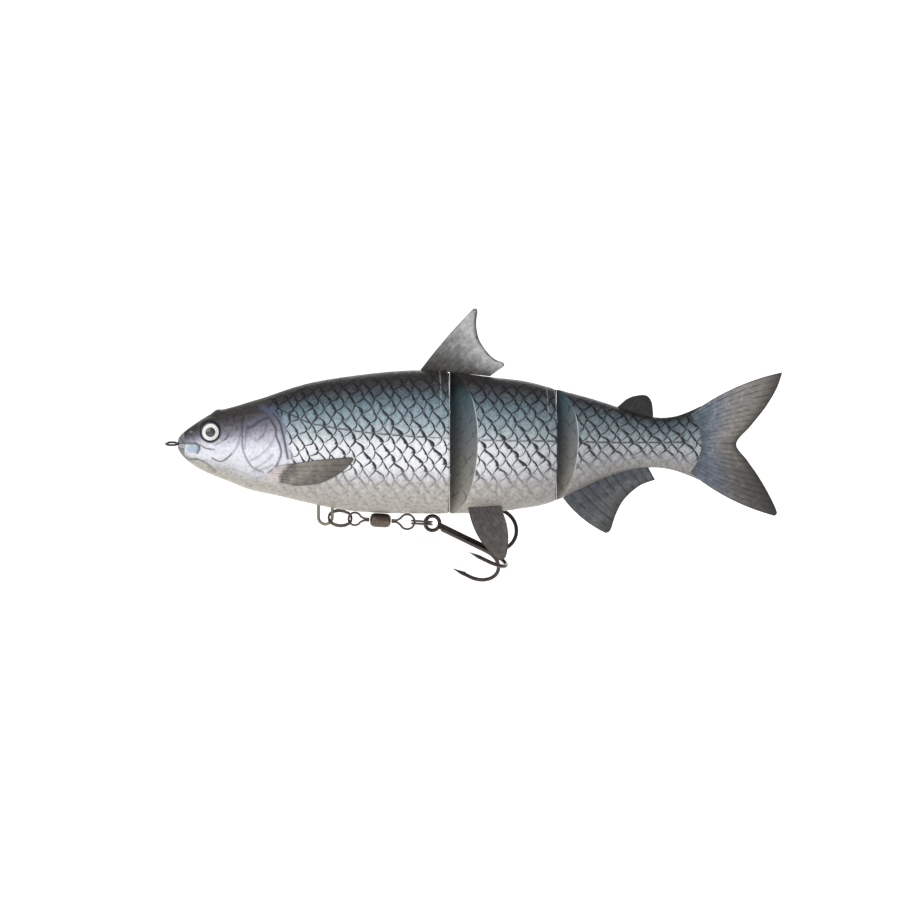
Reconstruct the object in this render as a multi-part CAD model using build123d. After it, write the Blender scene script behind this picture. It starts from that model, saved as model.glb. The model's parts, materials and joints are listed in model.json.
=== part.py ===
from build123d import *
import os
from math import cos, radians, sin, tan

os.makedirs("parts", exist_ok=True)

# A jointed hard swimbait: three hollow body sections hinged on vertical pins, soft fins,
# and a treble hook on a swivel rig under the belly. Millimetres. The origin is the centre
# of the tow eye at the nose; +X runs to the tail, +Z to the back, the left flank faces -Y.

# driving dimensions
WALL = 1.8
FRONT_FACE = 114.0
REAR_FACE = 158.1
AXIS_DEPTH = 3.0
HINGE_GAP = 0.8
BEVEL_DEG = 37.0
HINGE_PIN_R = 0.85
SCREW_EYE_WIRE_R = 0.55
SCREW_EYE_R = 1.5
BODY_END = 219.0

# outline of the whole body: distance from the origin, back, belly, half width
STATIONS = [
    (2.5, 1.6, -1.8, 1.2), (3.3, 3.2, -3.6, 2.6), (6.0, 5.6, -6.6, 4.3), (11.0, 9.1, -10.1, 6.2),
    (18.0, 12.9, -13.3, 8.0), (28.0, 15.9, -17.3, 10.1), (42.0, 20.3, -21.0, 12.4),
    (60.0, 25.6, -25.2, 14.2), (80.0, 28.6, -28.1, 15.3), (100.0, 30.2, -28.7, 15.6),
    (120.0, 28.9, -28.7, 15.1), (140.0, 26.5, -27.3, 13.9), (158.0, 22.6, -23.6, 12.3),
    (175.0, 18.0, -15.6, 9.6), (190.0, 13.0, -10.6, 6.6), (203.0, 10.6, -10.0, 4.2),
    (212.0, 12.4, -12.4, 3.1), (219.0, 15.6, -15.2, 2.4),
]


def save(node, solid):
    solid.label = node
    export_step(solid, f"parts/{node}.step")


# ---- body skin -------------------------------------------------------------------------
def half_section(station, grow, side):
    """One side of the body's cross-section, closed on the centre plane."""
    x, back, belly, width = station
    back = back + grow
    belly = belly - grow
    width = width + grow
    widest = (back + belly) / 2 + 0.04 * (back - belly)
    turn = 0 if side > 0 else 90
    upper = EllipticalCenterArc((0, widest), width, back - widest, turn, arc_size=90)
    lower = EllipticalCenterArc((0, widest), width, widest - belly, 270 - turn, arc_size=90)
    seam = Line((0, belly), (0, back))
    plane = Plane.YZ.offset(x)
    return make_face([plane * edge for edge in (lower, upper, seam)])


def half_body(side, grow=0.0, start=0.0, end=300.0):
    """Half of the fish, offset by grow, lofted through the stations from start to end."""
    sections = [half_section(s, grow, side) for s in STATIONS if start <= s[0] <= end]
    return loft(sections)


def block(x0, x1, y0, y1, z0, z1):
    """A box between two corners."""
    return Pos((x0 + x1) / 2, (y0 + y1) / 2, (z0 + z1) / 2) * Box(x1 - x0, y1 - y0, z1 - z0)


def wedge(apex, end):
    """The space behind a vertical wedge edge, as far as end."""
    half = 40.0
    back = apex + half * tan(radians(BEVEL_DEG))
    far = back + 80
    corners = [(apex, 0), (back, half), (far, half), (far, -half), (back, -half)]
    prism = extrude(make_face(Polyline(*corners, close=True)), amount=60, both=True)
    return prism & block(apex - 1, end, -30, 30, -60, 60)


def along_x(radius, x0, x1, y, z):
    """A round bar along X."""
    return Pos((x0 + x1) / 2, y, z) * Rot(0, 90, 0) * Cylinder(radius, x1 - x0)


def upright(radius, z0, z1, x, y=0.0):
    """A round bar along Z."""
    return Pos(x, y, (z0 + z1) / 2) * Cylinder(radius, z1 - z0)


# ---- hinges ----------------------------------------------------------------------------
class BodyHinge:
    """One vertical pin hinge: the pin sits behind a flat face, two screw eyes ride on it."""

    def __init__(self, face, eye_height, pin_half_length, root_length):
        self.face = face
        self.axis = face - AXIS_DEPTH
        self.apex = face + HINGE_GAP
        self.eye_height = eye_height
        self.pin_half_length = pin_half_length
        self.root_end = self.apex + root_length

    def pin(self):
        return upright(HINGE_PIN_R, -self.pin_half_length, self.pin_half_length, self.axis)

    def slots(self):
        """The two slots that the screw eyes swing in."""
        inner = self.axis - SCREW_EYE_R - SCREW_EYE_WIRE_R - 0.3
        half_height = SCREW_EYE_WIRE_R + 0.2
        half_width = SCREW_EYE_R + SCREW_EYE_WIRE_R + 1.05
        slot = block(inner, self.face + 1, -half_width, half_width, -half_height, half_height)
        return Pos(0, 0, self.eye_height) * slot + Pos(0, 0, -self.eye_height) * slot

    def screw_eye(self, sign):
        """A wire eye on the pin with a shank screwed into the next section."""
        height = sign * self.eye_height
        eye = Pos(self.axis, 0, height) * Torus(SCREW_EYE_R, SCREW_EYE_WIRE_R)
        neck = along_x(SCREW_EYE_WIRE_R, self.axis + SCREW_EYE_R, self.apex + 1.6, 0, height)
        thread = along_x(0.8, self.apex + 1.6, self.root_end, 0, height)
        return eye + neck + thread

    def bosses(self):
        """The solid bars inside the next section that hold the screws."""
        upper = along_x(2.4, self.apex, self.root_end + 1.5, 0, self.eye_height)
        lower = along_x(2.4, self.apex, self.root_end + 1.5, 0, -self.eye_height)
        return upper + lower


front_hinge = BodyHinge(FRONT_FACE, eye_height=13.0, pin_half_length=17.0, root_length=9.0)
rear_hinge = BodyHinge(REAR_FACE, eye_height=9.0, pin_half_length=13.0, root_length=8.0)


# ---- fins ------------------------------------------------------------------------------
STIFF_FIN = 1.8
SOFT_FIN = 1.5
PELVIC_FIN = 1.2


def plate(outline, thickness):
    """A flat fin in the centre plane from (x, z) corner points."""
    face = make_face(Plane.XZ * Polyline(*outline, close=True))
    return extrude(face, amount=thickness / 2, both=True)


def dorsal_fin():
    return plate(
        [(102.0, 30.5), (110.0, 39.8), (119.4, 51.2), (124.3, 55.8), (126.6, 55.4), (125.7, 49.5),
         (126.6, 44.0), (128.3, 40.6), (131.2, 36.8), (137.0, 32.6), (136.2, 31.4), (131.4, 28.2),
         (122.0, 29.1), (114.2, 29.9), (112.6, 29.0), (112.6, 25.0), (103.6, 25.0), (103.6, 29.0)],
        STIFF_FIN,
    )


def adipose_fin():
    return plate(
        [(182.9, 15.4), (188.4, 18.9), (193.0, 20.1), (196.0, 20.0), (198.2, 17.0), (198.8, 11.6),
         (196.5, 9.0), (188.5, 9.8), (184.0, 14.0)],
        SOFT_FIN,
    )


def anal_fin():
    return plate(
        [(162.4, -22.6), (168.6, -29.8), (176.0, -35.2), (179.6, -36.9), (181.2, -35.6), (183.5, -29.0),
         (187.0, -22.8), (193.2, -17.4), (199.6, -14.8), (198.2, -10.8), (196.0, -8.6), (184.0, -9.8),
         (172.0, -14.4)],
        SOFT_FIN,
    )


def caudal_fin():
    return plate(
        [(214.0, 12.2), (222.3, 17.8), (228.4, 21.4), (233.0, 22.5), (238.4, 25.9), (246.0, 28.6),
         (252.2, 29.6), (249.9, 22.9), (245.4, 15.3), (239.2, 7.4), (233.2, 0.0), (237.6, -6.7),
         (241.7, -12.5), (246.5, -20.6), (250.0, -28.0), (249.0, -29.8), (239.2, -26.5),
         (230.6, -22.7), (224.2, -19.3), (214.0, -12.1), (206.0, -7.0), (206.0, 7.0)],
        STIFF_FIN,
    )


PELVIC_ROOT = (5.6, -26.2)
PELVIC_SPLAY_DEG = 18.0


def pelvic_fin(side):
    """A belly fin, drawn upright under its root and then splayed outwards."""
    stretch = 1 / cos(radians(PELVIC_SPLAY_DEG))
    outline = [(122.4, 0.6), (124.3, -8.9), (128.1, -14.5), (131.8, -19.9), (135.2, -22.0),
               (137.6, -21.0), (138.9, -15.8), (139.0, -10.7), (138.3, -6.1), (136.0, -1.6),
               (133.5, 2.4), (124.5, 2.4)]
    blade = plate([(x, z * stretch) for x, z in outline], PELVIC_FIN)
    return Pos(0, side * PELVIC_ROOT[0], PELVIC_ROOT[1]) * Rot(side * PELVIC_SPLAY_DEG, 0, 0) * blade


def pectoral_fin(side):
    """A thin fin laid along the flank behind the gill plate, seated in a shallow pocket."""
    outline = [(41.0, -11.2), (43.8, -9.2), (54.4, -6.8), (64.0, -5.8), (74.3, -5.5), (75.4, -7.2),
               (71.0, -11.2), (66.0, -14.6), (60.0, -17.0), (52.5, -17.4), (44.6, -15.6), (41.0, -14.0)]
    face = make_face(Plane.XZ * Polyline(*outline, close=True))
    prism = extrude(face, amount=20, dir=(0, side, 0))
    skin = half_body(side, 0.9, 18.0, 100.0) - half_body(side, -0.7, 18.0, 100.0)
    return prism & skin


# ---- eyes ------------------------------------------------------------------------------
EYE = (16.4, 4.7)
EYE_R = 4.1
EYE_FACE_Y = 7.0


def eye_disc(side):
    """The printed iris disc at the bottom of the eye socket."""
    return Pos(EYE[0], side * (EYE_FACE_Y - 0.6), EYE[1]) * Rot(90, 0, 0) * Cylinder(EYE_R, 1.2)


def eye_lens(side):
    """The clear dome over the iris disc."""
    ball_r = 7.0
    ball = Pos(EYE[0], side * (EYE_FACE_Y + 1.5 - ball_r), EYE[1]) * Sphere(ball_r)
    rim = Pos(EYE[0], side * (EYE_FACE_Y + 1.5), EYE[1]) * Rot(90, 0, 0) * Cylinder(EYE_R, 3.0)
    return ball & rim


# ---- fixed hardware of the body ---------------------------------------------------------
TOW_EYE_R = 2.45
TOW_WIRE_R = 0.45
TOW_ROLL_DEG = 14.0


def tow_eye():
    """The line tie: a round wire loop with a shank moulded into the nose."""
    loop = Rot(TOW_ROLL_DEG, 0, 0) * Torus(TOW_EYE_R, TOW_WIRE_R)
    shank = along_x(0.7, TOW_EYE_R - 0.1, 13.0, 0, 0)
    return loop + shank


HANGER = (63.4, -30.4)
HANGER_R = 2.85
HANGER_WIRE_R = 0.65


def belly_hanger():
    """A wire loop under the belly with two legs moulded into the shell."""
    lower = Torus(HANGER_R, HANGER_WIRE_R) & block(-5, 5, -5, 0, -2, 2)
    bow = Pos(HANGER[0], 0, HANGER[1]) * Rot(90, 0, 0) * lower
    leg_top = -20.0
    front_leg = upright(HANGER_WIRE_R, HANGER[1], leg_top, HANGER[0] - HANGER_R)
    rear_leg = upright(HANGER_WIRE_R, HANGER[1], leg_top, HANGER[0] + HANGER_R)
    return bow + front_leg + rear_leg


def hanger_boss():
    return block(HANGER[0] - 5, HANGER[0] + 5, -2.6, 2.6, -30, -19.4)


def ballast(x0, x1, z, radius):
    """A round steel weight lying along the belly."""
    return along_x(radius, x0, x1, 0, z)


def cradle(x0, x1, z):
    """Two ribs that carry a weight."""
    front = block(x0 + 1.5, x0 + 3.5, -30, 30, -40, z + 1)
    rear = block(x1 - 3.5, x1 - 1.5, -30, 30, -40, z + 1)
    return front + rear


head_ballast = ballast(74.0, 98.0, -20.0, 4.0)
middle_ballast = ballast(130.0, 146.0, -17.5, 3.5)


# ---- body shells -----------------------------------------------------------------------
def shell(side, region, cavity, inside, cut):
    """Half of one hollow body section."""
    half = block(-10, 300, min(0, 40 * side), max(0, 40 * side), -60, 60)
    inner = half_body(side, -WALL, 11.0, 212.0)
    hollow = (inner & cavity) - inside
    return (half_body(side) & region) - hollow - (cut & half)


def head_shell(side):
    mouth = block(2.0, 5.4, -8, 8, -0.9, 0.9)
    # the slit is rolled with the tow eye so that the loop nests in the mouth
    slit = Rot(TOW_ROLL_DEG, 0, 0) * mouth
    region = block(-5, FRONT_FACE, -30, 30, -60, 60)
    cavity = block(14.0, 106.5, -30, 30, -60, 60)
    socket = block(EYE[0] - 5.6, EYE[0] + 5.6, -30, 30, EYE[1] - 5.6, EYE[1] + 5.6)
    nose_boss = block(10, 24, -30, 30, -3, 3)
    inside = hanger_boss() + cradle(74.0, 98.0, -20.0) + socket + nose_boss
    cut = front_hinge.slots() + front_hinge.pin() + tow_eye() + slit + belly_hanger() + head_ballast
    cut = cut + dorsal_fin() + eye_disc(side) + eye_lens(side)
    eye_hole = Pos(EYE[0], side * (EYE_FACE_Y + 4), EYE[1]) * Rot(90, 0, 0) * Cylinder(EYE_R, 8)
    return shell(side, region, cavity, inside, cut + eye_hole) - pectoral_fin(side)


def middle_shell(side):
    region = wedge(front_hinge.apex, REAR_FACE)
    cavity = wedge(front_hinge.apex + 3.4, 150.5)
    inside = front_hinge.bosses() + cradle(130.0, 146.0, -17.5)
    cut = rear_hinge.slots() + rear_hinge.pin() + front_hinge.screw_eye(1) + front_hinge.screw_eye(-1)
    return shell(side, region, cavity, inside, cut + middle_ballast + pelvic_fin(side))


def tail_shell(side):
    region = wedge(rear_hinge.apex, BODY_END)
    cavity = wedge(rear_hinge.apex + 3.4, 184.0)
    cut = rear_hinge.screw_eye(1) + rear_hinge.screw_eye(-1) + adipose_fin() + anal_fin() + caudal_fin()
    return shell(side, region, cavity, rear_hinge.bosses(), cut)


# ---- hook rig --------------------------------------------------------------------------
# The rig lies back along the belly. Its own frame has x along the rig and its origin at
# the centre of the hanger's bow; it droops a little and leans towards the right flank.
RIG = Pos(HANGER[0], 0, HANGER[1]) * Rot(0, 3.2, 3.2)
RING_SECTION = (0.78, 1.1)
FRONT_RING = (6.1, 4.8, 40.0)
FRONT_EYE = (12.2, 2.6, 0.45)
BARREL = (22.8, 4.2, 2.9)
REAR_EYE = (33.9, 3.05, 0.5)
REAR_RING = (39.95, 4.3)
REAR_RING_AXIAL = 2.0


def split_ring(x, radius, tilt, axial):
    """A flat-wire ring whose two coils lie face to face; tilt turns it about the rig."""
    coil = Rectangle(RING_SECTION[0], axial)
    section = Plane.XZ * Pos(radius, 0) * coil
    ring = revolve(section, Axis.Z, 360)
    return RIG * Pos(x, 0, 0) * Rot(tilt, 0, 0) * ring


def swivel_eye(spec, outward):
    """A round wire eye with a shank that runs into the barrel and ends in a head."""
    x, radius, wire_r = spec
    loop = Pos(x, 0, 0) * Rot(90, 0, 0) * Torus(radius, wire_r)
    head_x = BARREL[0] + outward * (BARREL[1] - 1.6)
    near = x - outward * radius
    shank = along_x(0.5, min(near, head_x), max(near, head_x), 0, 0)
    head = along_x(1.4, head_x - 0.5, head_x + 0.5, 0, 0)
    return RIG * (loop + shank + head)


def swivel_barrel():
    """The hollow barrel that both eyes turn in."""
    half, radius = BARREL[1], BARREL[2]
    drum = along_x(radius, -half, half, 0, 0)
    drum = fillet(drum.edges(), 1.2)
    hollow = along_x(1.9, 1.0 - half, half - 1.0, 0, 0)
    bore = along_x(0.58, -half - 1, half + 1, 0, 0)
    return RIG * Pos(BARREL[0], 0, 0) * (drum - hollow - bore)


TREBLE_X = 44.35
TREBLE_WIRE_R = 0.8
TREBLE_EYE_R = 3.0
SHANK_END = 25.4
LEG_LENGTH = 4.6
POINT_LENGTH = 3.8
LEG_R = 18.2
SHANK_R = 0.93
TREBLE_DROOP_DEG = 26.0
TREBLE_LEAN_DEG = 5.4
FIRST_HOOK_DEG = 42.0


def treble_frame():
    """The treble's frame: x down the shank from the eye's centre, y towards the first hook."""
    centre = (RIG * Pos(TREBLE_X, 0, 0)).position
    droop, aside = radians(TREBLE_DROOP_DEG), radians(TREBLE_LEAN_DEG)
    x_dir = Vector(cos(droop) * cos(aside), sin(aside), -sin(droop) * cos(aside))
    down = Vector(-sin(droop), 0, -cos(droop))
    return Plane(origin=centre, x_dir=x_dir, z_dir=x_dir.cross(down))


def hook(azimuth, start):
    """One hook of the treble: shank, round bend, point leg, barb and point."""
    bend_r = (LEG_R - SHANK_R) / 2
    leg_end = SHANK_END - LEG_LENGTH
    shank = along_x(TREBLE_WIRE_R, start, SHANK_END, SHANK_R, 0)
    ring = Pos(SHANK_END, SHANK_R + bend_r, 0) * Torus(bend_r, TREBLE_WIRE_R)
    bend = ring & block(SHANK_END, SHANK_END + 20, -20, 40, -5, 5)
    leg = along_x(TREBLE_WIRE_R, leg_end, SHANK_END, LEG_R, 0)
    cone = Rot(0, -90, 0) * Cone(TREBLE_WIRE_R, 0.1, POINT_LENGTH)
    point = Pos(leg_end - POINT_LENGTH / 2, LEG_R, 0) * cone
    barb_outline = [(leg_end - 0.6, LEG_R - 0.3), (leg_end + 1.6, LEG_R - 1.5), (leg_end + 0.9, LEG_R - 0.3)]
    barb = extrude(make_face(Polyline(*barb_outline, close=True)), amount=0.25, both=True)
    return Rot(azimuth, 0, 0) * (shank + bend + leg + point + barb)


def treble_double_hook():
    eye = Torus(TREBLE_EYE_R, TREBLE_WIRE_R)
    upper = hook(FIRST_HOOK_DEG + 120, TREBLE_EYE_R)
    left = hook(FIRST_HOOK_DEG + 240, TREBLE_EYE_R)
    return treble_frame() * (eye + upper + left)


def treble_single_hook():
    # its shank is brazed into the groove between the double hook's two shanks
    return treble_frame() * hook(FIRST_HOOK_DEG, TREBLE_EYE_R + 2 * TREBLE_WIRE_R)


# ---- write every node -------------------------------------------------------------------
def main():
    for side, name in ((-1, "left"), (1, "right")):
        save(f"head_shell_{name}", head_shell(side))
        save(f"middle_shell_{name}", middle_shell(side))
        save(f"tail_shell_{name}", tail_shell(side))
        save(f"eye_disc_{name}", eye_disc(side))
        save(f"eye_lens_{name}", eye_lens(side))
        save(f"pectoral_fin_{name}", pectoral_fin(side))
        save(f"pelvic_fin_{name}", pelvic_fin(side))
    save("tow_eye", tow_eye())
    save("belly_hanger", belly_hanger())
    save("head_ballast", head_ballast)
    save("middle_ballast", middle_ballast)
    save("dorsal_fin", dorsal_fin())
    save("adipose_fin", adipose_fin())
    save("anal_fin", anal_fin())
    save("caudal_fin", caudal_fin())
    save("front_hinge_pin", front_hinge.pin())
    save("rear_hinge_pin", rear_hinge.pin())
    for sign, name in ((1, "upper"), (-1, "lower")):
        save(f"front_screw_eye_{name}", front_hinge.screw_eye(sign))
        save(f"rear_screw_eye_{name}", rear_hinge.screw_eye(sign))
    save("front_split_ring", split_ring(*FRONT_RING, RING_SECTION[1]))
    save("rear_split_ring", split_ring(*REAR_RING, 0.0, REAR_RING_AXIAL))
    save("swivel_front_eye", swivel_eye(FRONT_EYE, -1))
    save("swivel_rear_eye", swivel_eye(REAR_EYE, 1))
    save("swivel_barrel", swivel_barrel())
    save("treble_double_hook", treble_double_hook())
    save("treble_single_hook", treble_single_hook())


main()
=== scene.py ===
import json
from math import cos, pi, radians, sin, tan

import bmesh
import bpy
import numpy as np
from mathutils import Matrix, Vector
from mathutils.bvhtree import BVHTree


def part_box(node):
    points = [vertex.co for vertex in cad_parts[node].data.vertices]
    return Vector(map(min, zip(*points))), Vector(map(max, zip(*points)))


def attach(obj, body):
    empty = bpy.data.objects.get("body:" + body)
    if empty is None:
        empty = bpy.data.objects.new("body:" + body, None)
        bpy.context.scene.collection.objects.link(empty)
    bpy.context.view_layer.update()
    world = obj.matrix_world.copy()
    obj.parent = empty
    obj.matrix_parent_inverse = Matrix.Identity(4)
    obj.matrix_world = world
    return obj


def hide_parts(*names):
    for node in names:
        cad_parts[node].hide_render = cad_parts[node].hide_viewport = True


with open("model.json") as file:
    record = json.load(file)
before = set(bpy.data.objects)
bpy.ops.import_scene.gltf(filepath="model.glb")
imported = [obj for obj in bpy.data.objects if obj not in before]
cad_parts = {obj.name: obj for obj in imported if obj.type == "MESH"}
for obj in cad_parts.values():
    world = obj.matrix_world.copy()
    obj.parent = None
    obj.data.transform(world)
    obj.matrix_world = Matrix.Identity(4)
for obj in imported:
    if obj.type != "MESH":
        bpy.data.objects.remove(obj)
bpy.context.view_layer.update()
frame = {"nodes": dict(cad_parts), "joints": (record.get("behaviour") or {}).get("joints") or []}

# In millimetres, with x to the tail and z to the back. The camera, lights and floor are in metres.
MM = 0.001
NOSE_BLUNTNESS = 0.5         # power by which the outline opens behind the lips
WIDEST_ABOVE_MIDDLE = 0.04   # height of the fullest line above the middle, in body heights
BEVEL = tan(radians(37.0))   # run of a joint's bevel per millimetre of half width
SKIN = 0.16                  # how far the painted skin stands off the hard shells
SKIN_STEP = 0.42             # spacing of the skin's grid along the body
SKIN_AROUND = 285            # points of the skin's grid round the body
SCALE_LENGTH = 5.3
SCALE_WIDTH = 3.65           # between two rows of scales
SCALE_BULGE = 0.58           # how far a scale's free edge bows, in scale lengths
SCALE_ROWS_BELOW = 40.0      # keeps the rows' numbers positive
EYE = (16.4, 4.7)
EYE_R = 4.1
PELVIC_SPLAY_DEG = 18.0
PELVIC_ROOT = (5.6, -26.2)   # y and z
RIG_WIRE_R = 0.46            # swivel eyes
RING_WIRE_R = 0.42
BARREL_HALF = 4.6            # from the barrel's middle to where the wires enter
TREBLE_DROOP_DEG = 26.0
TREBLE_LEAN_DEG = 5.4
HOOK_WIRE_R = 0.8
HOOK_EYE_R = 3.0
HOOK_POINT_TAPER = 4.6
# the nodes that each hook stands for, by its angle round the shank; one node holds two hooks
HOOK_NODES = {42: ["treble_single_hook"], 162: ["treble_double_hook"], 282: None}
SIDES = {"left": -1, "right": 1}


# ---- camera, light and stage ----
def put(name, data):
    """A new object in the scene."""
    thing = bpy.data.objects.new(name, data)
    bpy.context.scene.collection.objects.link(thing)
    return thing


def make_camera():
    """Side on, as far off as a long lens, framing the whole bait."""
    data = bpy.data.cameras.new("camera")
    camera = put("camera", data)
    distance = 1.6
    view_width = 0.3719
    data.lens = data.sensor_width * distance / view_width
    camera.location = (0.1149, -distance, -0.0026)
    camera.rotation_euler = (pi / 2, 0, 0)
    bpy.context.scene.camera = camera


def area_light(name, place, aim, size, watts, colour=(1, 1, 1)):
    data = bpy.data.lights.new(name, "AREA")
    data.shape = "RECTANGLE"
    data.size = size[0]
    data.size_y = size[1]
    data.energy = watts
    data.color = colour
    light = put(name, data)
    light.location = place
    light.rotation_euler = (Vector(aim) - Vector(place)).to_track_quat("-Z", "Y").to_euler()


def make_lights():
    middle = (0.12, 0, 0)
    area_light("top_softbox", (0.05, -0.35, 0.75), middle, (0.9, 0.5), 3.0)
    area_light("front_softbox", (-0.35, -0.9, 0.35), middle, (0.6, 0.6), 2.7)
    area_light("far_softbox", (0.3, 0.8, 0.5), middle, (0.8, 0.5), 2.0)
    world = bpy.data.worlds.new("studio")
    world.use_nodes = True
    background = world.node_tree.nodes["Background"]
    background.inputs["Color"].default_value = (1, 1, 1, 1)
    background.inputs["Strength"].default_value = 0.58
    bpy.context.scene.world = world
    bpy.context.scene.view_settings.view_transform = "Standard"


def make_stage():
    """A pale floor that sweeps up into a backdrop."""
    profile = [(-2.5, 0.0)]
    for step in range(13):
        turn = radians(90 * step / 12)
        profile.append((1.6 + 0.8 * sin(turn), 0.8 - 0.8 * cos(turn)))
    profile.append((2.4, 3.0))
    mesh = bpy.data.meshes.new("floor")
    points = [(x, y, z - 0.24) for y, z in profile for x in (-3.5, 3.7)]
    faces = [(2 * i, 2 * i + 1, 2 * i + 3, 2 * i + 2) for i in range(len(profile) - 1)]
    mesh.from_pydata(points, [], faces)
    mesh.shade_smooth()
    floor = put("floor", mesh)
    material, shader, _ = new_material("pale_floor")
    shader.inputs["Base Color"].default_value = (0.93, 0.93, 0.93, 1)
    shader.inputs["Roughness"].default_value = 0.9
    shader.inputs["Emission Color"].default_value = (1, 1, 1, 1)
    shader.inputs["Emission Strength"].default_value = 0.5
    floor.data.materials.append(material)


# ---- small node helpers ----
def new_material(name):
    material = bpy.data.materials.new(name)
    material.use_nodes = True
    tree = material.node_tree
    return material, tree.nodes["Principled BSDF"], tree


class Graph:
    """Short names for the nodes of one material. Colours are as seen on a screen, 0 to 255."""

    def __init__(self, name):
        self.material, self.shader, tree = new_material(name)
        self.nodes = tree.nodes
        self.links = tree.links

    def link(self, source, target):
        self.links.new(source, target)

    def feed(self, value, socket):
        """A socket's value: another node's output, a number, or a colour."""
        if hasattr(value, "is_output"):
            self.link(value, socket)
        elif isinstance(value, tuple):
            socket.default_value = (*linear(value), 1)
        else:
            socket.default_value = value

    def attribute(self, name):
        node = self.nodes.new("ShaderNodeAttribute")
        node.attribute_name = name
        return node.outputs["Fac"]

    def math(self, operation, a, b=0.0):
        node = self.nodes.new("ShaderNodeMath")
        node.operation = operation
        self.feed(a, node.inputs[0])
        self.feed(b, node.inputs[1])
        return node.outputs[0]

    def times(self, a, b):
        return self.math("MULTIPLY", a, b)

    def plus(self, a, b):
        return self.math("ADD", a, b)

    def remap(self, value, low, high, to_low=0.0, to_high=1.0):
        """A smooth step from to_low at low to to_high at high."""
        node = self.nodes.new("ShaderNodeMapRange")
        node.interpolation_type = "SMOOTHSTEP"
        self.feed(value, node.inputs["Value"])
        limits = {"From Min": low, "From Max": high, "To Min": to_low, "To Max": to_high}
        for socket, number in limits.items():
            node.inputs[socket].default_value = number
        return node.outputs["Result"]

    def ramp(self, value, stops):
        """stops: (position, colour)."""
        node = self.nodes.new("ShaderNodeValToRGB")
        elements = node.color_ramp.elements
        while len(elements) < len(stops):
            elements.new(0.5)
        for element, (position, colour) in zip(elements, stops):
            element.position = position
            element.color = (*linear(colour), 1)
        self.feed(value, node.inputs["Fac"])
        return node.outputs["Color"]

    def mix(self, factor, a, b, blend="MIX"):
        node = self.nodes.new("ShaderNodeMix")
        node.data_type = "RGBA"
        node.blend_type = blend
        self.feed(factor, node.inputs["Factor"])
        self.feed(a, node.inputs[6])   # the colour sockets A and B
        self.feed(b, node.inputs[7])
        return node.outputs[2]

    def noise(self, scale, detail=3.0, roughness=0.5):
        """Noise over the object's own space; scale is in features per millimetre."""
        place = self.nodes.new("ShaderNodeTexCoord")
        node = self.nodes.new("ShaderNodeTexNoise")
        self.link(place.outputs["Object"], node.inputs["Vector"])
        node.inputs["Scale"].default_value = scale / MM
        node.inputs["Detail"].default_value = detail
        node.inputs["Roughness"].default_value = roughness
        return node.outputs["Fac"]

    def bump(self, height, depth_mm, under=None):
        node = self.nodes.new("ShaderNodeBump")
        node.inputs["Strength"].default_value = 1.0
        node.inputs["Distance"].default_value = depth_mm * MM
        self.link(height, node.inputs["Height"])
        if under is not None:
            self.link(under, node.inputs["Normal"])
        return node.outputs["Normal"]

    def finish(self, colour, roughness, normal, **settings):
        """Feeds the shader and returns the material."""
        self.feed(colour, self.shader.inputs["Base Color"])
        self.feed(roughness, self.shader.inputs["Roughness"])
        self.link(normal, self.shader.inputs["Normal"])
        for name, value in settings.items():
            self.shader.inputs[name.replace("_", " ")].default_value = value
        return self.material


def linear(colour):
    """A screen colour, 0 to 255, as linear light."""
    return tuple(((c / 255 + 0.055) / 1.055) ** 2.4 if c > 10 else c / 255 / 12.92 for c in colour)


# ---- measuring the frame ----
def shell_tree():
    """One search tree over the six hard shells, in millimetres."""
    points = []
    faces = []
    for name, node in frame["nodes"].items():
        if "_shell_" in name:
            base = len(points)
            points += [v.co / MM for v in node.data.vertices]
            faces += [[base + i for i in p.vertices] for p in node.data.polygons]
    return BVHTree.FromPolygons(points, faces)


def fullest_line(top, bottom):
    """The height at which the body is widest."""
    return (top + bottom) / 2 + WIDEST_ABOVE_MIDDLE * (top - bottom)


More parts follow.
